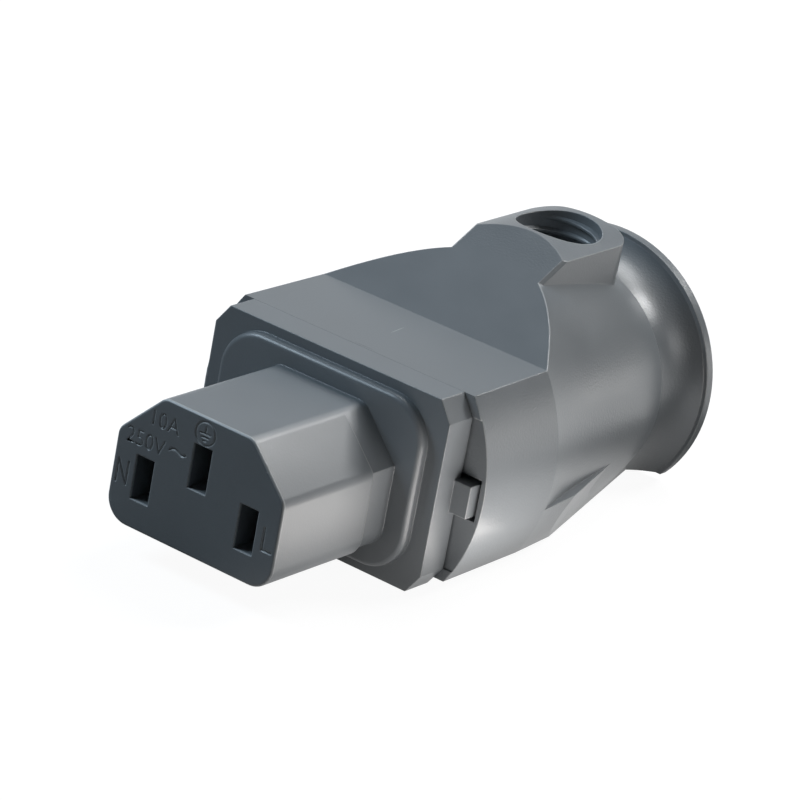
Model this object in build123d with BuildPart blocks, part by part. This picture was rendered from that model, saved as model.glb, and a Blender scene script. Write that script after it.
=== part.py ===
# Rewireable appliance connector: moulded front insert with three contact slots, snapped into a
# rear housing that tapers to a flared cable mouth and holds a screw-down cord clamp.
# Millimetres. -Y is the mating direction, +Z is the earth-slot side, +X the line side.

import os
from math import cos, radians, sin, sqrt, tan

from build123d import *

os.makedirs("parts", exist_ok=True)

# Mating face
contact_pitch = 14.0
contact_rise = 2.0
slot_width = 2.45
slot_height = 5.05
nose_width = 22.3
nose_height = 15.4
nose_chamfer = 5.3
nose_low_radius = 2.8
nose_high_radius = 1.6
nose_edge_radius = 0.3
nose_length = 18.95
nose_front_wall = 3.8
nose_relief = 0.25
nose_relief_length = 3.9

# Platform and cap plate of the insert
platform_width = 27.4
platform_height = 19.6
platform_radius = 5.0
platform_rise = 1.2
platform_edge_radius = 0.6
cap_width = 31.7
cap_height = 22.0
cap_corner_x = 1.6
cap_corner_z = 2.3
cap_thickness = 4.05
seam = 0.03
side_seam = 0.2

# Rear housing, outside
barrel_radius = 19.05
barrel_draft = 0.9
top_flat = 11.0
bottom_flat = 10.1
barrel_end = 17.6
waist_front_station = 22.4
waist_front_radius = 17.7
waist_mid_station = 32.0
waist_mid_radius = 16.2
neck_station = 46.0
neck_radius = 12.95
neck_step = 0.3
flange_station = 51.6
flange_radius = 15.65
flange_lip = 1.15
flare_step = 0.5
ramp_slope = 26.0
boss_half_width = 6.3
boss_step = 0.35
boss_end = 44.9
boss_corner_radius = 3.0
boss_chamfer = 0.4
skirt_ledge_angle = 12.5
skirt_start = 21.2
skirt_start_half_width = 18.55
skirt_start_drop = 4.4
skirt_taper = 0.264
skirt_lean = 0.4
skirt_draft = 3.7

# Rear housing, inside
wall = 2.0
mouth_width = 28.8
mouth_corner_radius = 3.0
mouth_end = 19.5
funnel_end = 32.5
cable_radius = 7.5
bell_radius = 12.0
bell_length = 5.8

# Snap lugs that lock the insert in the housing
lug_half_height = 1.83
lug_reach = 18.05
lug_depth = 4.0
lug_front = 2.9
lug_end = 7.4
lug_gap = 0.55
lug_side_gap = 0.3
barb_width = 9.0
barb_height = 0.7
barb_length = 1.5
barb_station = 5.6

# Carrier behind the cap
fit_gap = 0.2
bulkhead_end = 7.4
tray_side_clearance = 2.5
tray_floor = 7.0
tray_top = 7.4
tray_end = 17.0
pocket_width = 5.8
chamber_width = 3.6
chamber_height = 6.0
retainer_thickness = 1.6
wire_hole_radius = 2.1
clip_thickness = 1.1
clip_length = 5.0
clip_half_height = 2.0
clip_catch = 0.6
clip_catch_length = 1.4

# Contacts and terminals
sheet = 0.5
sleeve_width = 3.2
sleeve_height = 5.6
sleeve_length = 11.5
sleeve_seam = 0.7
sleeve_window_height = 1.2
sleeve_window_margin = 2.0
block_width = 5.5
block_start = 9.2
block_end_gap = 0.2
block_top = 3.2
block_floor = 0.8
block_chamfer = 0.3
block_front_wall = 1.1
wire_width = 3.4
wire_height = 2.8
stub_radius = 0.8
screw_radius = 1.45
running_gap = 0.05
screw_head_radius = 2.4
screw_head_height = 1.4
screw_head_chamfer = 0.2
screw_travel = 1.5
head_clearance = 0.1
drive_slot = 0.7
plate_chamfer = 0.15
plate_thickness = 0.6
plate_width = 3.2
plate_length = 4.4

# Cord clamp
clamp_station = 38.9
clamp_thread_radius = 4.9
clamp_screw_radius = 4.83
clamp_screw_length = 5.3
clamp_screw_chamfer = 0.5
clamp_drive_width = 1.3
clamp_drive_depth = 1.6
pad_half_width = 5.6
pad_half_length = 4.2
pad_top = 9.9
pad_bottom = 5.6
pad_saddle_radius = 8.7
pad_rib_radius = 7.9
pad_rib_half_length = 0.6
pad_gap = 0.3
pad_roof_gap = 0.2

# Stations are measured rearward from the front of the cap plate, heights from the contact axis.
# The whole part is centred on Y and stands on the lowest edge of the cap.
nose_front = -(nose_length + platform_rise)
flange_end = flange_station + flange_lip
plate_y = -(nose_front + flange_end) / 2
axis_z = cap_height / 2
mid_axis = Axis((0, 0, axis_z), (0, 1, 0))
side = Plane(origin=(0, plate_y, axis_z), x_dir=(0, 1, 0), z_dir=(1, 0, 0))
contact_places = {
    "line": (contact_pitch / 2, -contact_rise),
    "neutral": (-contact_pitch / 2, -contact_rise),
    "earth": (0.0, contact_rise),
}
cap_back = cap_thickness - seam
shell_front = cap_thickness
mouth_high = top_flat - wall
mouth_low = bottom_flat - wall
tray_half_width = mouth_width / 2 - tray_side_clearance
barrel_end_radius = barrel_radius - tan(radians(barrel_draft)) * (barrel_end - shell_front)
block_end = tray_end - block_end_gap
screw_station = (block_start + block_front_wall + block_end) / 2
sleeve_bottom = sleeve_height / 2
block_bottom = sleeve_bottom - sheet
wire_low = block_bottom - block_floor
wire_high = wire_height - wire_low


def section(station):
    """Plane across the axis at a station; a negative extrusion runs rearward."""
    return Plane(origin=(0, plate_y + station, axis_z), x_dir=(1, 0, 0), z_dir=(0, -1, 0))


def level(height, station=0.0, x=0.0):
    """Horizontal plane at a height above the axis, centred on a station."""
    return Plane(origin=(x, plate_y + station, axis_z + height))


# Front insert: nose, platform, cap and contact carrier in one moulding
nose_outline = [
    (-nose_width / 2, -nose_height / 2),
    (nose_width / 2, -nose_height / 2),
    (nose_width / 2, nose_height / 2 - nose_chamfer),
    (nose_width / 2 - nose_chamfer, nose_height / 2),
    (-nose_width / 2 + nose_chamfer, nose_height / 2),
    (-nose_width / 2, nose_height / 2 - nose_chamfer),
]
cap_outline = [
    (-cap_width / 2, -cap_height / 2 + cap_corner_z),
    (-cap_width / 2 + cap_corner_x, -cap_height / 2),
    (cap_width / 2 - cap_corner_x, -cap_height / 2),
    (cap_width / 2, -cap_height / 2 + cap_corner_z),
    (cap_width / 2, cap_height / 2 - cap_corner_z),
    (cap_width / 2 - cap_corner_x, cap_height / 2),
    (-cap_width / 2 + cap_corner_x, cap_height / 2),
    (-cap_width / 2, cap_height / 2 - cap_corner_z),
]
shoulder = nose_height / 2 - nose_chamfer
relief_low = nose_relief - nose_height / 2
relief_side = nose_width / 2 - nose_relief
relief_outline = [
    (-relief_side, relief_low),
    (relief_side, relief_low),
    (relief_side, shoulder),
    (nose_width / 2 - nose_chamfer, nose_height / 2),
    (nose_width / 2 - nose_chamfer, nose_height),
    (nose_chamfer - nose_width / 2, nose_height),
    (nose_chamfer - nose_width / 2, nose_height / 2),
    (-relief_side, shoulder),
]

with BuildPart() as front_insert:
    with BuildSketch(section(0)):
        with BuildLine():
            Polyline(*cap_outline, close=True)
        make_face()
    extrude(amount=-cap_back)
    with BuildSketch(section(0)):
        RectangleRounded(platform_width, platform_height, platform_radius)
    extrude(amount=platform_rise)
    fillet(front_insert.faces().sort_by(Axis.Y)[0].outer_wire().edges(), platform_edge_radius)
    with BuildSketch(section(nose_front)):
        with BuildLine():
            Polyline(*nose_outline, close=True)
        make_face()
        fillet(vertices().group_by(Axis.Y)[0], nose_low_radius)
        fillet(vertices().group_by(Axis.Y)[-1], nose_high_radius)
        fillet(vertices().filter_by_position(Axis.Y, shoulder - 0.01, shoulder + 0.01), nose_high_radius)
    extrude(amount=nose_front)
    fillet(front_insert.faces().sort_by(Axis.Y)[0].outer_wire().edges(), nose_edge_radius)
    # Shallow relief round the sides and the underside of the nose at its base
    with BuildSketch(section(-platform_rise)):
        Rectangle(2 * nose_width, 2 * nose_height)
        with BuildLine():
            Polyline(*relief_outline, close=True)
        make_face(mode=Mode.SUBTRACT)
        fillet(vertices().filter_by_position(Axis.Y, relief_low - 0.01, relief_low + 0.01), nose_low_radius)
    extrude(amount=nose_relief_length, mode=Mode.SUBTRACT)
    # Bulkhead that fills the mouth of the housing, and the terminal tray behind it
    with BuildSketch(section(cap_back)):
        with Locations((0, (mouth_high - mouth_low) / 2)):
            RectangleRounded(
                mouth_width - 2 * fit_gap,
                mouth_high + mouth_low - 2 * fit_gap,
                mouth_corner_radius - fit_gap,
            )
    extrude(amount=cap_back - bulkhead_end)
    with BuildSketch(section(bulkhead_end)):
        with Locations((0, (tray_top - tray_floor) / 2)):
            Rectangle(2 * tray_half_width, tray_top + tray_floor)
    extrude(amount=bulkhead_end - tray_end)
    # Slots in the nose face, and the chambers behind them
    with BuildSketch(section(nose_front)):
        with Locations(*contact_places.values()):
            Rectangle(slot_width, slot_height)
    extrude(amount=-nose_front_wall, mode=Mode.SUBTRACT)
    with BuildSketch(section(nose_front + nose_front_wall)):
        with Locations(*contact_places.values()):
            Rectangle(chamber_width, chamber_height)
    extrude(amount=nose_front + nose_front_wall - bulkhead_end, mode=Mode.SUBTRACT)
    # Terminal pockets, open to the top and the rear
    with BuildSketch(section(bulkhead_end)):
        for x, z in contact_places.values():
            floor = z - chamber_height / 2
            with Locations((x, (floor + tray_top) / 2)):
                Rectangle(pocket_width, tray_top - floor)
    extrude(amount=bulkhead_end - tray_end, mode=Mode.SUBTRACT)
    # Catches for the retainer's clips
    with BuildSketch(section(tray_end - clip_length)):
        with Locations((tray_half_width, 0), (-tray_half_width, 0)):
            Rectangle(2 * (clip_catch + fit_gap), 2 * (clip_half_height + fit_gap))
    extrude(amount=-(clip_catch_length + 2 * fit_gap), mode=Mode.SUBTRACT)
    # Lugs on both sides of the cap
    with BuildSketch(section(lug_front)):
        lug_middle = lug_reach - lug_depth / 2
        with Locations((lug_middle, 0), (-lug_middle, 0)):
            Rectangle(lug_depth, 2 * lug_half_height)
    extrude(amount=lug_front - lug_end)
    # Snap barbs above and below the bulkhead
    with BuildSketch(side):
        for sign, height in ((1, mouth_high - fit_gap), (-1, mouth_low - fit_gap)):
            with BuildLine():
                Polyline(
                    (barb_station, sign * (height - fit_gap)),
                    (barb_station, sign * (height + barb_height)),
                    (barb_station + barb_length, sign * height),
                    (barb_station + barb_length, sign * (height - fit_gap)),
                    close=True,
                )
            make_face()
    extrude(amount=barb_width / 2, both=True)

front_insert.part.label = "front_insert"
export_step(front_insert.part, "parts/front_insert.step")

# Core of the rear housing: mouth, funnel, cable channel, clamp pocket, screw hole and bell mouth
with BuildPart() as funnel:
    with BuildSketch(side):
        with BuildLine():
            Polyline(
                (mouth_end - wall, 0),
                (mouth_end - wall, mouth_width / 2),
                (mouth_end, mouth_width / 2),
                (funnel_end, cable_radius),
                (flange_end, cable_radius),
                (flange_end, 0),
                close=True,
            )
        make_face()
    revolve(axis=mid_axis)
    split(bisect_by=level(mouth_high), keep=Keep.BOTTOM)
    split(bisect_by=level(-mouth_low), keep=Keep.TOP)

with BuildPart() as bell:
    with BuildSketch(side):
        with BuildLine():
            bell_start = flange_end - bell_length
            Line((bell_start, 0), (bell_start, cable_radius))
            TangentArc((bell_start, cable_radius), (flange_end, bell_radius), tangent=(1, 0))
            Line((flange_end, bell_radius), (flange_end, 0))
            Line((flange_end, 0), (bell_start, 0))
        make_face()
    revolve(axis=mid_axis)
    split(bisect_by=level(-mouth_low), keep=Keep.TOP)

with BuildPart() as core:
    with BuildSketch(section(shell_front)):
        with Locations((0, (mouth_high - mouth_low) / 2)):
            RectangleRounded(mouth_width, mouth_high + mouth_low, mouth_corner_radius)
    extrude(amount=shell_front - mouth_end)
    add(funnel.part)
    add(bell.part)
    with BuildSketch(level(0, clamp_station)):
        Rectangle(2 * (pad_half_width + pad_gap), 2 * (pad_half_length + pad_gap))
    extrude(amount=pad_top + pad_roof_gap)
    with BuildSketch(level(0, clamp_station)):
        Circle(clamp_thread_radius)
    extrude(amount=barrel_radius)
    # Gap beside the cap, notches for the lugs, and grooves for the snap barbs
    with BuildSketch(section(shell_front)):
        with Locations((mouth_width / 2 + barrel_radius, 0), (-mouth_width / 2 - barrel_radius, 0)):
            Rectangle(2 * barrel_radius, 2 * top_flat - 2 * cap_corner_z)
    extrude(amount=-side_seam)
    with BuildSketch(section(shell_front)):
        Rectangle(2 * (lug_reach + lug_side_gap), 2 * (lug_half_height + lug_gap))
    extrude(amount=shell_front - lug_end - lug_gap)
    with BuildSketch(section(barb_station - fit_gap)):
        with Locations((0, (mouth_high - mouth_low) / 2)):
            Rectangle(barb_width + 2 * fit_gap, mouth_high + mouth_low + 2 * barb_height)
    extrude(amount=-(barb_length + 2 * fit_gap))

# Skirt: the lower part of the waist, where the barrel runs on behind a shallow ledge
skirt_plane_x = Plane(
    origin=(skirt_start_half_width, plate_y + skirt_start, axis_z - skirt_start_drop),
    z_dir=(1, skirt_taper, -skirt_lean),
)
ledge_dir = (sin(radians(skirt_ledge_angle)), 0, cos(radians(skirt_ledge_angle)))
ledge_plane = Plane(origin=(0, plate_y, axis_z), z_dir=ledge_dir)

with BuildPart() as skirt:
    with BuildSketch(side):
        with BuildLine():
            skirt_length = flange_station - barrel_end
            skirt_end_radius = barrel_end_radius - tan(radians(skirt_draft)) * skirt_length
            Polyline(
                (barrel_end - wall, 0),
                (barrel_end - wall, barrel_end_radius),
                (barrel_end, barrel_end_radius),
                (flange_station, skirt_end_radius),
                (flange_station, 0),
                close=True,
            )
        make_face()
    revolve(axis=mid_axis)
    split(bisect_by=skirt_plane_x, keep=Keep.BOTTOM)
    split(bisect_by=ledge_plane, keep=Keep.BOTTOM)
    with BuildSketch(Plane.YZ.offset(-2 * barrel_radius)):
        Rectangle(4 * flange_end, 4 * flange_end)
    extrude(amount=2 * barrel_radius, mode=Mode.SUBTRACT)
    mirror(about=Plane.YZ)

# Space above the top flat and above the ramp that rises from it to the boss
with BuildPart() as above_ramp:
    with BuildSketch(side):
        with BuildLine():
            ramp_run = 2 * barrel_radius
            Polyline(
                (0, top_flat),
                (barrel_end, top_flat),
                (barrel_end + ramp_run, top_flat + ramp_run * tan(radians(ramp_slope))),
                (0, top_flat + ramp_run * tan(radians(ramp_slope))),
                close=True,
            )
        make_face()
    extrude(amount=2 * barrel_radius, both=True)

# Clamp boss: upright walls chamfered along the ramp, capped by a curve that carries on the barrel's
with BuildPart() as boss:
    with BuildSketch(level(0, (barrel_end + boss_end) / 2)):
        Rectangle(2 * boss_half_width, boss_end - barrel_end)
        fillet(vertices().group_by(Axis.Y)[-1], boss_corner_radius)
    extrude(amount=2 * barrel_radius)
    with BuildSketch(section(barrel_end)):
        Circle(3 * barrel_radius)
        Circle(barrel_radius - boss_step, mode=Mode.SUBTRACT)
    extrude(amount=barrel_end - flange_end, mode=Mode.SUBTRACT)
    add(above_ramp.part, mode=Mode.SUBTRACT)
    slope_axis = Axis((0, 0, 0), (0, cos(radians(ramp_slope)), sin(radians(ramp_slope))))
    chamfer(boss.edges().filter_by(slope_axis), boss_chamfer)

with BuildPart() as rear_housing:
    with BuildSketch(side):
        with BuildLine():
            Line((shell_front, 0), (shell_front, barrel_radius))
            Line((shell_front, barrel_radius), (barrel_end, barrel_end_radius))
            waist = Spline(
                (barrel_end, barrel_end_radius),
                (waist_front_station, waist_front_radius),
                (waist_mid_station, waist_mid_radius),
                (neck_station, neck_radius + neck_step),
            )
            Line(waist @ 1, (neck_station, neck_radius))
            flare = TangentArc(
                (neck_station, neck_radius), (flange_station, flange_radius - flare_step), tangent=(1, 0)
            )
            Line(flare @ 1, (flange_station, flange_radius))
            Line((flange_station, flange_radius), (flange_end, flange_radius))
            Line((flange_end, flange_radius), (flange_end, 0))
            Line((flange_end, 0), (shell_front, 0))
        make_face()
    revolve(axis=mid_axis)
    add(skirt.part)
    add(above_ramp.part, mode=Mode.SUBTRACT)
    add(boss.part)
    split(bisect_by=level(-bottom_flat), keep=Keep.TOP)
    add(core.part, mode=Mode.SUBTRACT)

rear_housing.part.label = "rear_housing"
export_step(rear_housing.part, "parts/rear_housing.step")

# Retainer plate that closes the tray behind the terminals, clipped over its sides
with BuildPart() as contact_retainer:
    with BuildSketch(section(tray_end)):
        with Locations((0, (tray_top - tray_floor) / 2)):
            Rectangle(2 * (tray_half_width + fit_gap / 2 + clip_thickness), tray_top + tray_floor)
        with Locations(*[(x, z + wire_high - wire_height / 2) for x, z in contact_places.values()]):
            Circle(wire_hole_radius, mode=Mode.SUBTRACT)
    extrude(amount=-retainer_thickness)
    with BuildSketch(section(tray_end)):
        clip_middle = tray_half_width + (fit_gap + clip_thickness) / 2
        with Locations((clip_middle, 0), (-clip_middle, 0)):
            Rectangle(clip_thickness, 2 * clip_half_height)
    extrude(amount=clip_length)
    with BuildSketch(section(tray_end - clip_length)):
        with Locations((tray_half_width, 0), (-tray_half_width, 0)):
            Rectangle(2 * clip_catch, 2 * clip_half_height)
    extrude(amount=-clip_catch_length)

contact_retainer.part.label = "contact_retainer"
export_step(contact_retainer.part, "parts/contact_retainer.step")

# One contact, terminal block, pressure plate and screw for each pole
for pole, (x, z) in contact_places.items():
    sleeve_front = nose_front + nose_front_wall + fit_gap
    with BuildPart() as contact:
        with BuildSketch(section(sleeve_front)):
            with Locations((x, z)):
                Rectangle(sleeve_width, sleeve_height)
                Rectangle(sleeve_width - 2 * sheet, sleeve_height - 2 * sheet, mode=Mode.SUBTRACT)
            with Locations((x, z + sleeve_height / 2)):
                Rectangle(sleeve_seam, 3 * sheet, mode=Mode.SUBTRACT)
        extrude(amount=-sleeve_length)
        # Side windows that free the spring strips
        window_length = sleeve_length - 2 * sleeve_window_margin
        with BuildSketch(section(sleeve_front + sleeve_window_margin)):
            with Locations((x, z)):
                Rectangle(2 * sleeve_width, sleeve_window_height)
        extrude(amount=-window_length, mode=Mode.SUBTRACT)
        # Tail that runs back under the terminal block
        with BuildSketch(level(z - sleeve_bottom, 0, x)):
            tail_end = block_end - fit_gap
            tail_start = sleeve_front + sleeve_length
            with Locations((0, (tail_start + tail_end) / 2)):
                Rectangle(sleeve_width, tail_end - tail_start)
            with Locations((0, block_start + block_front_wall / 2)):
                Circle(stub_radius, mode=Mode.SUBTRACT)
        extrude(amount=sheet)
    contact.part.label = f"{pole}_contact"
    export_step(contact.part, f"parts/{pole}_contact.step")

    with BuildPart() as terminal_block:
        with BuildSketch(section(block_start)):
            with Locations((x, z + (block_top - block_bottom) / 2)):
                Rectangle(block_width, block_top + block_bottom)
        extrude(amount=block_start - block_end)
        chamfer(terminal_block.edges().filter_by(Axis.Y), block_chamfer)
        with BuildSketch(section(block_end)):
            with Locations((x, z + wire_high - wire_height / 2)):
                Rectangle(wire_width, wire_height)
        extrude(amount=block_end - block_start - block_front_wall, mode=Mode.SUBTRACT)
        with BuildSketch(level(z + wire_high - wire_height / 2, screw_station, x)):
            Circle(screw_radius + running_gap)
        extrude(amount=block_top + block_bottom, mode=Mode.SUBTRACT)
        with BuildSketch(level(z - sleeve_bottom, block_start + block_front_wall / 2, x)):
            Circle(stub_radius)
        extrude(amount=sheet)
    terminal_block.part.label = f"{pole}_terminal_block"
    export_step(terminal_block.part, f"parts/{pole}_terminal_block.step")

    plate_top = z + wire_high - running_gap
    with BuildPart() as pressure_plate:
        with BuildSketch(level(plate_top, screw_station, x)):
            Rectangle(plate_width, plate_length)
        extrude(amount=-plate_thickness)
        chamfer(pressure_plate.faces().sort_by(Axis.Z)[0].edges(), plate_chamfer)
    pressure_plate.part.label = f"{pole}_pressure_plate"
    export_step(pressure_plate.part, f"parts/{pole}_pressure_plate.step")

    head_under = z + block_top + screw_travel + head_clearance
    with BuildPart() as terminal_screw:
        with BuildSketch(level(plate_top, screw_station, x)):
            Circle(screw_radius)
        extrude(amount=head_under - plate_top)
        with BuildSketch(level(head_under, screw_station, x)):
            Circle(screw_head_radius)
        extrude(amount=screw_head_height)
        chamfer(terminal_screw.faces().sort_by(Axis.Z)[-1].edges(), screw_head_chamfer)
        with BuildSketch(level(head_under + screw_head_height, screw_station, x)):
            Rectangle(drive_slot, 3 * screw_head_radius)
        extrude(amount=-drive_slot, mode=Mode.SUBTRACT)
    terminal_screw.part.label = f"{pole}_terminal_screw"
    export_step(terminal_screw.part, f"parts/{pole}_terminal_screw.step")

# Cord clamp: a ribbed saddle pad pushed down on the cable by a slotted screw in the boss
with BuildPart() as cord_clamp_pad:
    with BuildSketch(level(pad_bottom, clamp_station)):
        Rectangle(2 * pad_half_width, 2 * pad_half_length)
    extrude(amount=pad_top - pad_bottom)
    with BuildSketch(section(clamp_station)):
        Circle(pad_rib_radius)
    extrude(amount=2 * pad_half_length, both=True, mode=Mode.SUBTRACT)
    with BuildSketch(section(clamp_station - pad_half_length)):
        Circle(pad_saddle_radius)
    extrude(amount=pad_rib_half_length - pad_half_length, mode=Mode.SUBTRACT)
    with BuildSketch(section(clamp_station + pad_rib_half_length)):
        Circle(pad_saddle_radius)
    extrude(amount=pad_rib_half_length - pad_half_length, mode=Mode.SUBTRACT)

cord_clamp_pad.part.label = "cord_clamp_pad"
export_step(cord_clamp_pad.part, "parts/cord_clamp_pad.step")

with BuildPart() as cord_clamp_screw:
    with BuildSketch(level(pad_top, clamp_station)):
        Circle(clamp_screw_radius)
    extrude(amount=clamp_screw_length)
    chamfer(cord_clamp_screw.edges().filter_by(GeomType.CIRCLE), clamp_screw_chamfer)
    with BuildSketch(level(pad_top + clamp_screw_length, clamp_station)):
        Rectangle(3 * clamp_screw_radius, clamp_drive_width)
    extrude(amount=-clamp_drive_depth, mode=Mode.SUBTRACT)

cord_clamp_screw.part.label = "cord_clamp_screw"
export_step(cord_clamp_screw.part, "parts/cord_clamp_screw.step")
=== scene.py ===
from math import pi

import bpy
from mathutils import Matrix, Vector


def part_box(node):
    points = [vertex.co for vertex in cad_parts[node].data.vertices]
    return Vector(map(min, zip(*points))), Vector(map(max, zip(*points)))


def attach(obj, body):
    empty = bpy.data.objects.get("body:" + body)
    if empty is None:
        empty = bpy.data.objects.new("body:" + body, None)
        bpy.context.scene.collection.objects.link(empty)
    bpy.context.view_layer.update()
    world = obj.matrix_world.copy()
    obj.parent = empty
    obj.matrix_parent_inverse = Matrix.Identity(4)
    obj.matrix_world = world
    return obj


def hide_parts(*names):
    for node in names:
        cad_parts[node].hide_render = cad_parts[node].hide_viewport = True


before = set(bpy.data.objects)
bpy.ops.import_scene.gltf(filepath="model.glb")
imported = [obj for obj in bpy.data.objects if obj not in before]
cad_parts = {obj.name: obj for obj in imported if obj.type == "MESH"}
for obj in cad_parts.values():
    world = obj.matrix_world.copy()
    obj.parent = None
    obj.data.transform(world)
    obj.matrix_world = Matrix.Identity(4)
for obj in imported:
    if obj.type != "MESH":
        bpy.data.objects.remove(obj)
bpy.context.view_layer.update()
for obj in bpy.context.selected_objects:
    obj.select_set(False)
print("frame loaded:", len(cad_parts), "nodes")

mm = 0.001
white = (1, 1, 1, 1)


# Helpers for node trees. A value that is a socket is linked, any other is set.

def feed(tree, value, socket):
    if isinstance(value, bpy.types.NodeSocket):
        tree.links.new(value, socket)
    else:
        socket.default_value = value


def newMaterial(name):
    material = bpy.data.materials.new(name)
    material.use_nodes = True
    tree = material.node_tree
    return material, tree, tree.nodes["Principled BSDF"]


def addNode(tree, kind, inputs=None, **settings):
    node = tree.nodes.new(kind)
    for key, value in settings.items():
        setattr(node, key, value)
    for key, value in (inputs or {}).items():
        feed(tree, value, node.inputs[key])
    return node


def addMath(tree, operation, *values):
    inputs = dict(enumerate(values))
    return addNode(tree, "ShaderNodeMath", inputs, operation=operation).outputs[0]


def addRamp(tree, value, start=(0.0, 1.0), end=(0.0, 1.0), smooth=False):
    ramp = addNode(tree, "ShaderNodeMapRange", {
        "Value": value,
        "From Min": start[0],
        "From Max": start[1],
        "To Min": end[0],
        "To Max": end[1],
    })
    if smooth:
        ramp.interpolation_type = "SMOOTHSTEP"
    return ramp.outputs["Result"]


# the Mix node's sockets for each kind: first input, second input, output
mixSockets = {"FLOAT": (2, 3, 0), "VECTOR": (4, 5, 1), "RGBA": (6, 7, 2)}


def addMix(tree, kind, factor, first, second):
    firstIn, secondIn, out = mixSockets[kind]
    inputs = {0: factor, firstIn: first, secondIn: second}
    return addNode(tree, "ShaderNodeMix", inputs, data_type=kind).outputs[out]


def addParts(tree, vector):
    return addNode(tree, "ShaderNodeSeparateXYZ", {"Vector": vector}).outputs


def shade(colour, factor):
    return tuple(channel * factor for channel in colour[:3]) + (1,)


# Helpers for pieces.

def only(piece):
    bpy.ops.object.select_all(action="DESELECT")
    piece.select_set(True)
    bpy.context.view_layer.objects.active = piece


def settle(piece, body, material):
    only(piece)
    bpy.ops.object.transform_apply(location=True, rotation=True, scale=True)
    piece.data.materials.clear()
    piece.data.materials.append(material)
    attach(piece, body)
    piece.select_set(False)


# Slate grey plastic: a faint cloud in colour and polish, fine sand, and outer edges painted lighter
# as a highlight.

plasticLook = {
    "colour": (0.17, 0.186, 0.2, 1),
    "fleck": 0.06,                      # how far the colour wanders
    "cloud": {"Scale": 160.0, "Detail": 3.0, "Roughness": 0.55},
    "polish": (-0.05, 0.07),            # how far the roughness wanders
    "specular": 0.9,
    "sand": {"Scale": 3600, "Detail": 2.0, "Roughness": 0.6},
    "sandDepth": 0.03 * mm,
    "paintedEdgeHighlight": (0.4, 0.42, 0.43, 1),     # painted highlight colour on the outer edges
    "highlightFrom": 0.97,                    # cosine of the rounding where the painted highlight begins
    "highlightTo": 0.86,
    "openReach": 0.6 * mm,              # an edge in a corner this close gets no painted highlight
    "openFrom": 0.8,
    "openTo": 0.95,
    "rimDepth": (-36.1 * mm, -36.2 * mm),   # the nose's rims get the painted highlight in this band of Y
    "rimLean": (-0.97, -0.85),          # but not the nose face itself
    "seamLine": -12.27 * mm,            # cap and housing meet flush here on the top flat
    "seamReach": 0.5 * mm,
    "seamAbove": 21.6 * mm,
    "smoothTo": 12.5 * mm,              # top flat and ramp are polished as far back as this
    "smoothLean": 0.85,
    "smoothSand": 0.15,                 # what is left of the sand there
    "samples": 6,
}

# Scratches and nicks: centre, turn about Z, half sizes, colour.
wornSpots = {
    "dark scratch": {
        "centre": (0.6 * mm, -11.9 * mm, 22.0 * mm),
        "turn": 0.01,
        "size": (1.6 * mm, 0.05 * mm, 0.4 * mm),
        "colour": (0.06, 0.066, 0.072, 1),
    },
    "bright nick": {
        "centre": (-0.48 * mm, -4.65 * mm, 22.0 * mm),
        "turn": 1.656,
        "size": (1.6 * mm, 0.05 * mm, 0.4 * mm),
        "colour": (0.42, 0.44, 0.45, 1),
    },
    "nose nick": {
        "centre": (8.52 * mm, -36.45 * mm, 16.01 * mm),
        "turn": 0.0,
        "size": (0.3 * mm, 0.35 * mm, 0.2 * mm),
        "colour": (0.7, 0.7, 0.7, 1),
    },
}


def spotMask(tree, place, spot):
    fade = (0.5, 1.0)                   # full inside half its size, gone at its edge
    reach = addNode(tree, "ShaderNodeMapping", {
        "Vector": place,
        "Location": spot["centre"],
        "Rotation": (0, 0, spot["turn"]),
        "Scale": spot["size"],
    }, vector_type="TEXTURE")
    far = addNode(tree, "ShaderNodeVectorMath", {0: reach.outputs["Vector"]}, operation="LENGTH")
    return addRamp(tree, far.outputs["Value"], fade, (1.0, 0.0))


def paintedHighlightMask(tree, look, parts, normal, surface):
    # painted highlight on outer edges, where the rounded normal leaves the face's and nothing
    # stands close by
    turned = addNode(tree, "ShaderNodeVectorMath", {
        0: normal,
        1: surface["True Normal"],
    }, operation="DOT_PRODUCT")
    rounded = addRamp(tree, turned.outputs["Value"], (look["highlightFrom"], look["highlightTo"]))
    hollow = addNode(tree, "ShaderNodeAmbientOcclusion", {
        "Distance": look["openReach"],
        "Normal": surface["True Normal"],
    }, samples=look["samples"])
    outer = addRamp(tree, hollow.outputs["AO"], (look["openFrom"], look["openTo"]))
    edges = addMath(tree, "MULTIPLY", rounded, outer)

    # and painted highlight on the walls just behind the nose face: its rim, the slots' and the
    # marks' edges
    nearFace = addRamp(tree, parts["Y"], look["rimDepth"])
    lean = addParts(tree, surface["Normal"])
    sideways = addRamp(tree, lean["Y"], look["rimLean"])
    rims = addMath(tree, "MULTIPLY", nearFace, sideways)
    return addMath(tree, "MAXIMUM", edges, rims)


def sandStrength(tree, look, parts, surface, grain):
    # fine sand everywhere but on the polished top
    lean = addParts(tree, surface["Normal"])
    level = addMath(tree, "GREATER_THAN", lean["Z"], look["smoothLean"])
    before = addMath(tree, "LESS_THAN", parts["Y"], look["smoothTo"])
    polished = addMath(tree, "MULTIPLY", level, before)
    return addRamp(tree, polished, end=(grain, grain * look["smoothSand"]))


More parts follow.
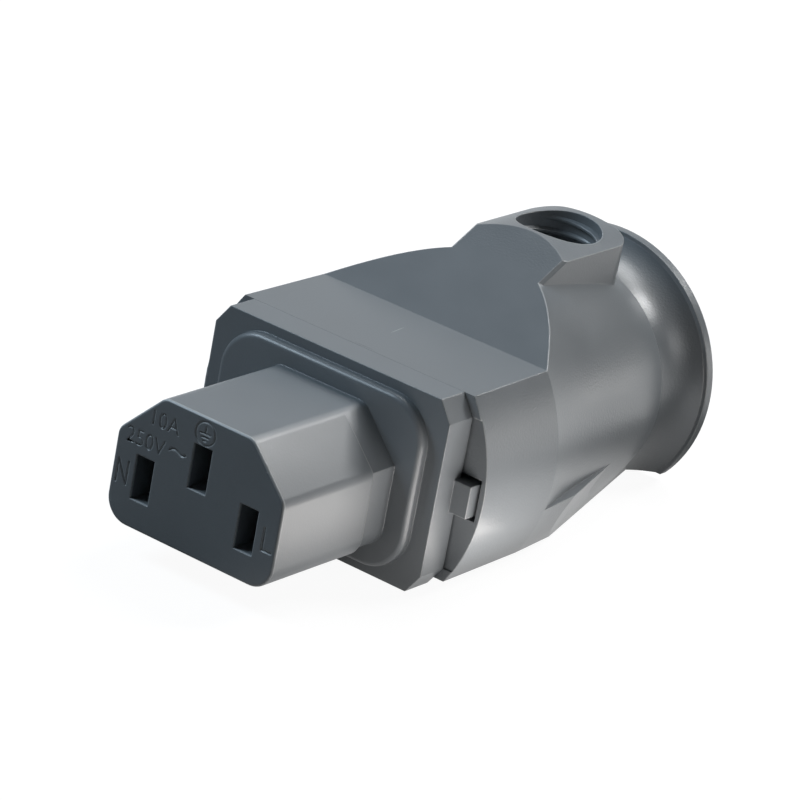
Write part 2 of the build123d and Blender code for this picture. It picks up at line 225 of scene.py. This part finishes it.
def mouldedPlastic(name, look, grain, edgeRadius, roughness, spots=()):
    material, tree, shader = newMaterial(name)
    place = addNode(tree, "ShaderNodeTexCoord").outputs["Object"]
    surface = addNode(tree, "ShaderNodeNewGeometry").outputs
    parts = addParts(tree, place)
    sand = addNode(tree, "ShaderNodeTexNoise", {"Vector": place, **look["sand"]})
    cloud = addNode(tree, "ShaderNodeTexNoise", {"Vector": place, **look["cloud"]})

    darker = shade(look["colour"], 1 - look["fleck"])
    lighter = shade(look["colour"], 1 + look["fleck"])
    colour = addMix(tree, "RGBA", cloud.outputs["Fac"], darker, lighter)
    for spot in spots:
        worn = wornSpots[spot]
        colour = addMix(tree, "RGBA", spotMask(tree, place, worn), colour, worn["colour"])

    # rounded edges, except along the flush seam
    onSeam = addMath(tree, "COMPARE", parts["Y"], look["seamLine"], look["seamReach"])
    onTop = addMath(tree, "GREATER_THAN", parts["Z"], look["seamAbove"])
    flush = addMath(tree, "MULTIPLY", onSeam, onTop)
    edge = addNode(tree, "ShaderNodeBevel", {"Radius": edgeRadius}, samples=look["samples"])
    normal = addMix(tree, "VECTOR", flush, edge.outputs["Normal"], surface["Normal"])

    # where the edges and nose rims get a painted highlight
    paintedEdgeHighlight = paintedHighlightMask(tree, look, parts, normal, surface)
    bump = addNode(tree, "ShaderNodeBump", {
        "Distance": look["sandDepth"],
        "Strength": sandStrength(tree, look, parts, surface, grain),
        "Height": sand.outputs["Fac"],
        "Normal": normal,
    })
    low, high = look["polish"]
    # painted highlight: the base colour is lifted to a pale grey on those edges
    feed(tree, addMix(tree, "RGBA", paintedEdgeHighlight, colour, look["paintedEdgeHighlight"]), shader.inputs["Base Color"])
    feed(
        tree,
        addRamp(tree, cloud.outputs["Fac"], end=(roughness + low, roughness + high)),
        shader.inputs["Roughness"],
    )
    feed(tree, bump.outputs["Normal"], shader.inputs["Normal"])
    shader.inputs["Specular IOR Level"].default_value = look["specular"]
    return material


insertPlastic = mouldedPlastic(
    "satin insert plastic", plasticLook, grain=0.35, edgeRadius=0.2 * mm, roughness=0.4,
    spots=["nose nick"],
)
housingPlastic = mouldedPlastic(
    "grained housing plastic", plasticLook, grain=1.0, edgeRadius=0.22 * mm, roughness=0.31,
    spots=["dark scratch", "bright nick"],
)
retainerPlastic = mouldedPlastic(
    "inner plastic", plasticLook, grain=0.4, edgeRadius=0.15 * mm, roughness=0.4,
)


# Brass and plated steel, with faint rolling streaks along Y.

metalLooks = {
    "contact brass": {"colour": (0.78, 0.62, 0.32, 1), "roughness": 0.32, "scratch": 900.0},
    "terminal brass": {"colour": (0.76, 0.6, 0.3, 1), "roughness": 0.28, "scratch": 1400.0},
    "plated steel": {"colour": (0.6, 0.6, 0.59, 1), "roughness": 0.3, "scratch": 1600.0},
}
streakLook = {
    "stretch": (1.0, 0.08, 1.0),
    "detail": 3.0,
    "dull": 0.86,               # how dark the streaks are
    "polish": (-0.08, 0.12),    # how far the roughness wanders
}


def sheetMetal(name):
    look = metalLooks[name]
    material, tree, shader = newMaterial(name)
    shader.inputs["Metallic"].default_value = 1.0
    streak = addNode(tree, "ShaderNodeMapping", {
        "Vector": addNode(tree, "ShaderNodeTexCoord").outputs["Object"],
        "Scale": streakLook["stretch"],
    })
    rub = addNode(tree, "ShaderNodeTexNoise", {
        "Vector": streak.outputs["Vector"],
        "Scale": look["scratch"],
        "Detail": streakLook["detail"],
    }).outputs["Fac"]
    dull = shade(look["colour"], streakLook["dull"])
    low, high = streakLook["polish"]
    feed(tree, addMix(tree, "RGBA", rub, dull, look["colour"]), shader.inputs["Base Color"])
    feed(
        tree,
        addRamp(tree, rub, end=(look["roughness"] + low, look["roughness"] + high)),
        shader.inputs["Roughness"],
    )
    return material


contactBrass, terminalBrass, platedSteel = [sheetMetal(name) for name in metalLooks]

nodeFinish = {
    "front_insert": insertPlastic,
    "rear_housing": housingPlastic,
    "contact_retainer": retainerPlastic,
    "cord_clamp_pad": retainerPlastic,
    "cord_clamp_screw": insertPlastic,
}
for pole in ("line", "neutral", "earth"):
    nodeFinish[pole + "_contact"] = contactBrass
    nodeFinish[pole + "_terminal_block"] = terminalBrass
    nodeFinish[pole + "_pressure_plate"] = platedSteel
    nodeFinish[pole + "_terminal_screw"] = platedSteel
for name, material in nodeFinish.items():
    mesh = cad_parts[name].data
    mesh.materials.clear()
    mesh.materials.append(material)
print("finishes set on", len(nodeFinish), "nodes")


# The insert again, with the usual terminal marks sunk in its nose.

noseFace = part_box("front_insert")[0].y
axisHeight = 11.0 * mm

markLook = {
    "sink": 0.13 * mm,
    "slope": 0.05 * mm,         # the marks' walls lean by this much
    "thin": -0.08 * mm,         # the strokes are this much thinner than the font's
    "fontSize": 1.42,           # for a letter one unit high
    "waveSize": 3.4 * mm,
    "letters": {                # text: left, right, foot, head, in mm from the axis
        "N": (-10.5, -8.95, -3.4, -0.65),
        "L": (9.15, 10.6, -3.45, -0.8),
        "10A": (-6.9, -3.35, 4.35, 6.05),
        "250V": (-9.9, -4.8, 1.45, 3.2),
        "~": (-4.3, -1.9, 2.35, 3.0),
    },
    "earthCentre": (-0.04, 5.93),
    "earthRing": (1.28, 0.234),     # radius, stroke
    "earthBars": (                  # rise, width, height
        (0.42, 0.18, 0.8),
        (-0.02, 1.5, 0.18),
        (-0.4, 1.0, 0.18),
        (-0.78, 0.5, 0.18),
    ),
    "ringSteps": (48, 8),
    "smoothAngle": 0.5,
}
mergeGap = 0.002 * mm


def editAll():
    bpy.ops.object.mode_set(mode="EDIT")
    bpy.ops.mesh.select_all(action="SELECT")


def copyNode(node, name):
    piece = bpy.data.objects.new(name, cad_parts[node].data.copy())
    bpy.context.scene.collection.objects.link(piece)
    only(piece)
    bpy.ops.mesh.customdata_custom_splitnormals_clear()
    editAll()
    bpy.ops.mesh.remove_doubles(threshold=mergeGap)
    bpy.ops.object.mode_set(mode="OBJECT")
    return piece


def sink(piece, cutter):
    only(cutter)
    bpy.ops.object.transform_apply(location=True, rotation=True, scale=True)
    editAll()
    bpy.ops.mesh.remove_doubles(threshold=mergeGap)
    bpy.ops.mesh.normals_make_consistent(inside=False)
    bpy.ops.object.mode_set(mode="OBJECT")
    only(piece)
    cut = piece.modifiers.new("sink", "BOOLEAN")
    cut.operation = "DIFFERENCE"
    cut.solver = "MANIFOLD"
    cut.object = cutter
    bpy.ops.object.modifier_apply(modifier=cut.name)
    bpy.data.objects.remove(cutter)


def addLetters(text, left, right, foot, head):
    bpy.ops.object.select_all(action="DESELECT")
    bpy.ops.object.text_add(location=(0, 0, 0))
    letters = bpy.context.active_object
    letters.data.body = text
    letters.data.size = (head - foot) * mm * markLook["fontSize"]
    if text == "~":
        letters.data.size = markLook["waveSize"]
    letters.data.extrude = markLook["sink"] - markLook["slope"]
    letters.data.bevel_depth = markLook["slope"]
    letters.data.bevel_resolution = 0
    letters.data.offset = markLook["thin"]
    bpy.ops.object.convert(target="MESH")
    letters = bpy.context.active_object
    xs = [vertex.co.x for vertex in letters.data.vertices]
    ys = [vertex.co.y for vertex in letters.data.vertices]
    wide = (right - left) * mm / (max(xs) - min(xs))
    high = (head - foot) * mm / (max(ys) - min(ys))
    letters.scale = (wide, high, 1)
    letters.rotation_euler = (pi / 2, 0, 0)
    letters.location = (
        left * mm - min(xs) * wide,
        noseFace,
        axisHeight + foot * mm - min(ys) * high,
    )
    return letters


def addBar(x, z, width, height):
    bpy.ops.object.select_all(action="DESELECT")
    bpy.ops.mesh.primitive_cube_add(size=1, location=(x * mm, noseFace, axisHeight + z * mm))
    bar = bpy.context.active_object
    bar.scale = (width * mm, 2 * markLook["sink"], height * mm)
    bpy.ops.object.transform_apply(location=True, rotation=True, scale=True)
    soften = bar.modifiers.new("soften", "BEVEL")
    soften.width = markLook["slope"]
    soften.segments = 1
    bpy.ops.object.modifier_apply(modifier=soften.name)
    return bar


def addRing(x, z, radius, stroke):
    along, across = markLook["ringSteps"]
    bpy.ops.object.select_all(action="DESELECT")
    bpy.ops.mesh.primitive_torus_add(
        major_radius=radius * mm,
        minor_radius=stroke / 2 * mm,
        major_segments=along,
        minor_segments=across,
        location=(x * mm, noseFace, axisHeight + z * mm),
        rotation=(pi / 2, 0, 0),
    )
    return bpy.context.active_object


insertMoulding = copyNode("front_insert", "insert_moulding")
for text, box in markLook["letters"].items():
    sink(insertMoulding, addLetters(text, *box))
earthX, earthZ = markLook["earthCentre"]
sink(insertMoulding, addRing(earthX, earthZ, *markLook["earthRing"]))
for rise, width, height in markLook["earthBars"]:
    sink(insertMoulding, addBar(earthX, earthZ + rise, width, height))
only(insertMoulding)
bpy.ops.object.shade_smooth_by_angle(angle=markLook["smoothAngle"])
settle(insertMoulding, "shell", insertPlastic)
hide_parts("front_insert")
print("marks sunk in the nose:", len(insertMoulding.data.polygons), "faces")


# The coarse thread in the clamp screw's hole.

threadLook = {
    "centre": (0.0, 22.6),      # mm, as all its lengths
    "start": 26.68,             # height of the crest where the thread begins
    "turns": 1.3,
    "pitch": 1.5,
    "wall": 4.98,               # just inside the hole's own wall
    "crest": 4.4,
    "base": 0.8,                # height of the profile at the wall
    "crestShare": 0.35,         # and at the crest, as a share of that
    "turn": 50,                 # where it begins, degrees from +X
    "steps": 90,                # in all its turns
    "runOut": 16,               # steps over which each end fades
    "left": 0.04,               # what is left of its depth at the very end
    "mergeGap": 0.001,
    "smoothAngle": 0.6,
}


def runOutEnds(thread):
    wall = threadLook["wall"] * mm
    corners = 4                 # of the profile
    rings = len(thread.data.vertices) // corners
    for ring in range(rings):
        height = min(1.0, min(ring, rings - 1 - ring) / threadLook["runOut"])
        share = threadLook["left"] + (1 - threadLook["left"]) * height
        for vertex in thread.data.vertices[corners * ring:corners * (ring + 1)]:
            reach = vertex.co.xy.length
            sunk = wall - (wall - reach) * share
            vertex.co.x *= sunk / reach
            vertex.co.y *= sunk / reach


def addThread():
    deep = threadLook["wall"] - threadLook["crest"]
    middle = threadLook["crest"] + deep / 2
    bpy.ops.object.select_all(action="DESELECT")
    bpy.ops.mesh.primitive_plane_add(size=1, location=(0, 0, 0))
    thread = bpy.context.active_object
    thread.name = "clamp_hole_thread"
    editAll()
    bpy.ops.transform.rotate(value=pi / 2, orient_axis="X", center_override=(0, 0, 0))
    bpy.ops.transform.resize(
        value=(deep * mm, 1, threadLook["base"] * mm), center_override=(0, 0, 0)
    )
    bpy.ops.transform.translate(value=(middle * mm, 0, 0))
    bpy.ops.object.mode_set(mode="OBJECT")
    for vertex in thread.data.vertices:
        if vertex.co.x < middle * mm:
            vertex.co.z *= threadLook["crestShare"]
    turned = thread.modifiers.new("turned", "SCREW")
    turned.axis = "Z"
    turned.angle = 2 * pi * threadLook["turns"]
    turned.screw_offset = threadLook["pitch"] * threadLook["turns"] * mm
    turned.steps = turned.render_steps = threadLook["steps"]
    bpy.ops.object.modifier_apply(modifier=turned.name)
    runOutEnds(thread)
    editAll()
    bpy.ops.mesh.remove_doubles(threshold=threadLook["mergeGap"] * mm)
    bpy.ops.mesh.fill_holes(sides=0)
    bpy.ops.mesh.select_all(action="SELECT")
    bpy.ops.mesh.normals_make_consistent(inside=False)
    bpy.ops.object.mode_set(mode="OBJECT")
    bpy.ops.object.shade_smooth_by_angle(angle=threadLook["smoothAngle"])
    centreX, centreY = threadLook["centre"]
    thread.rotation_euler = (0, 0, threadLook["turn"] * pi / 180)
    thread.location = (centreX * mm, centreY * mm, threadLook["start"] * mm)
    settle(thread, "shell", insertPlastic)


addThread()
print("thread cut in the boss")


# A pale floor that glows like a white table. Its places are in metres.

floorLook = {
    "size": 8,
    "tone": 0.12,
    "roughness": 0.9,
    "seen": 0.94,               # glow for the camera, under a faint shadow
    "mirrored": (0.08, 1.0),    # glow in reflections, elsewhere, and just beside the part
    "bounced": (0.0, 0.1),      # glow for scattered light, the same
    "behind": (0.052, 0.064),   # where the floor behind the part turns bright in reflections
    "beside": (                 # the bright patch: axis, where it starts, where it is full
        ("X", -0.005, 0.018),
        ("X", 0.11, 0.07),
        ("Y", -0.06, -0.03),
        ("Y", 0.045, 0.025),
    ),
}


def addFloor():
    bpy.ops.object.select_all(action="DESELECT")
    bpy.ops.mesh.primitive_plane_add(size=floorLook["size"], location=(0, 0, 0))
    floor = bpy.context.active_object
    floor.name = "floor"
    material, tree, shader = newMaterial("pale floor")
    parts = addParts(tree, addNode(tree, "ShaderNodeTexCoord").outputs["Object"])
    beside = 1.0
    for axis, starts, full in floorLook["beside"]:
        side = addRamp(tree, parts[axis], (starts, full), smooth=True)
        beside = addMath(tree, "MULTIPLY", beside, side)
    behind = addRamp(tree, parts["Y"], floorLook["behind"], smooth=True)
    around = addMath(tree, "MAXIMUM", beside, behind)
    bounced = addRamp(tree, beside, end=floorLook["bounced"])
    mirrored = addRamp(tree, around, end=floorLook["mirrored"])
    path = addNode(tree, "ShaderNodeLightPath").outputs
    glow = addMix(tree, "FLOAT", path["Is Glossy Ray"], bounced, mirrored)
    glow = addMix(tree, "FLOAT", path["Is Camera Ray"], glow, floorLook["seen"])
    feed(tree, glow, shader.inputs["Emission Strength"])
    shader.inputs["Emission Color"].default_value = white
    shader.inputs["Base Color"].default_value = (floorLook["tone"],) * 3 + (1,)
    shader.inputs["Roughness"].default_value = floorLook["roughness"]
    shader.inputs["Specular IOR Level"].default_value = 0.0
    floor.data.materials.append(material)


addFloor()

# Softboxes high behind, a cool fill in front, and a card on the table at the right, in metres.
lampAim = (0, 0, 0.012)
lampLook = {
    "key": {
        "place": (0.179, 0.385, 0.424), "size": (0.15, 0.15), "power": 1.4, "tint": (1, 1, 1),
    },
    "above": {
        "place": (-0.052, 0.295, 0.52), "size": (0.25, 0.25), "power": 1.3, "tint": (0.97, 0.99, 1),
    },
    "behind": {
        "place": (-0.305, 0.47, 0.215), "size": (0.25, 0.2), "power": 0.08, "tint": (1, 1, 1),
    },
    "right": {
        "place": (0.525, 0.141, 0.254), "size": (0.2, 0.2), "power": 0.3, "tint": (1, 1, 1),
    },
    "low side": {
        "place": (0.299, 0.518, 0.042), "size": (0.2, 0.1), "power": 0.15, "tint": (1, 0.98, 0.95),
    },
    "rear left": {
        "place": (-0.488, 0.282, 0.205), "size": (0.2, 0.2), "power": 0.4, "tint": (0.95, 0.98, 1),
    },
    "front fill": {
        "place": (-0.386, -0.223, 0.401), "size": (0.2, 0.2), "power": 1.9, "tint": (0.7, 0.86, 1),
    },
    "card": {
        "place": (0.042, -0.016, 0.001), "size": (0.04, 0.034), "power": 0.019,
        "tint": (1, 0.95, 0.91), "aim": (0.042, -0.016, 1),
    },
}


def addLamp(name, look):
    lamp = bpy.data.lights.new(name, "AREA")
    lamp.shape = "RECTANGLE"
    lamp.size, lamp.size_y = look["size"]
    lamp.energy = look["power"]
    lamp.color = look["tint"]
    holder = bpy.data.objects.new(name, lamp)
    place, aim = Vector(look["place"]), Vector(look.get("aim", lampAim))
    holder.location = place
    holder.rotation_euler = (aim - place).to_track_quat("-Z", "Y").to_euler()
    holder.visible_camera = False
    bpy.context.scene.collection.objects.link(holder)


for name, look in lampLook.items():
    addLamp(name, look)

# White for the camera, dim for everything else.
worldLook = {
    "seen": 1.0,
    "fill": (0.01, 0.03),       # scattered light from below the horizon and from above
    "fillFrom": (-0.2, 1.0),
    "mirrored": (0.04, 0.35),   # reflections elsewhere, and low behind the part
    "low": (0.35, 0.1),
    "rear": (0.0, 0.4),
}


def addWorld():
    world = bpy.data.worlds.new("studio")
    world.use_nodes = True
    tree = world.node_tree
    background = tree.nodes["Background"]
    parts = addParts(tree, addNode(tree, "ShaderNodeTexCoord").outputs["Generated"])
    dome = addRamp(tree, parts["Z"], worldLook["fillFrom"], worldLook["fill"])
    low = addRamp(tree, parts["Z"], worldLook["low"], smooth=True)
    rear = addRamp(tree, parts["Y"], worldLook["rear"], smooth=True)
    sweep = addRamp(tree, addMath(tree, "MULTIPLY", low, rear), end=worldLook["mirrored"])
    path = addNode(tree, "ShaderNodeLightPath").outputs
    glow = addMix(tree, "FLOAT", path["Is Glossy Ray"], dome, sweep)
    glow = addMix(tree, "FLOAT", path["Is Camera Ray"], glow, worldLook["seen"])
    feed(tree, glow, background.inputs["Strength"])
    background.inputs["Color"].default_value = white
    bpy.context.scene.world = world


addWorld()

cameraLook = {
    "place": (251.545, -383.73, 190.585),     # mm, the photograph's viewpoint
    "right": (0.782917, 0.597255, 0.174148),
    "up": (-0.351375, 0.193512, 0.916017),
    "back": (0.513396, -0.778357, 0.361365),
    "sensor": 36,
    "lens": 4538.6 / 800,                     # in sensor widths
    "clip": (0.01, 20),
}


def addCamera():
    data = bpy.data.cameras.new("camera")
    data.sensor_width = cameraLook["sensor"]
    data.lens = cameraLook["lens"] * cameraLook["sensor"]
    data.clip_start, data.clip_end = cameraLook["clip"]
    camera = bpy.data.objects.new("camera", data)
    turn = Matrix((cameraLook["right"], cameraLook["up"], cameraLook["back"]))
    place = Matrix.Translation(Vector(cameraLook["place"]) * mm)
    camera.matrix_world = place @ turn.transposed().to_4x4()
    bpy.context.scene.collection.objects.link(camera)
    bpy.context.scene.camera = camera


addCamera()
bpy.context.scene.view_settings.view_transform = "Standard"
print("floor, lamps and camera ready")
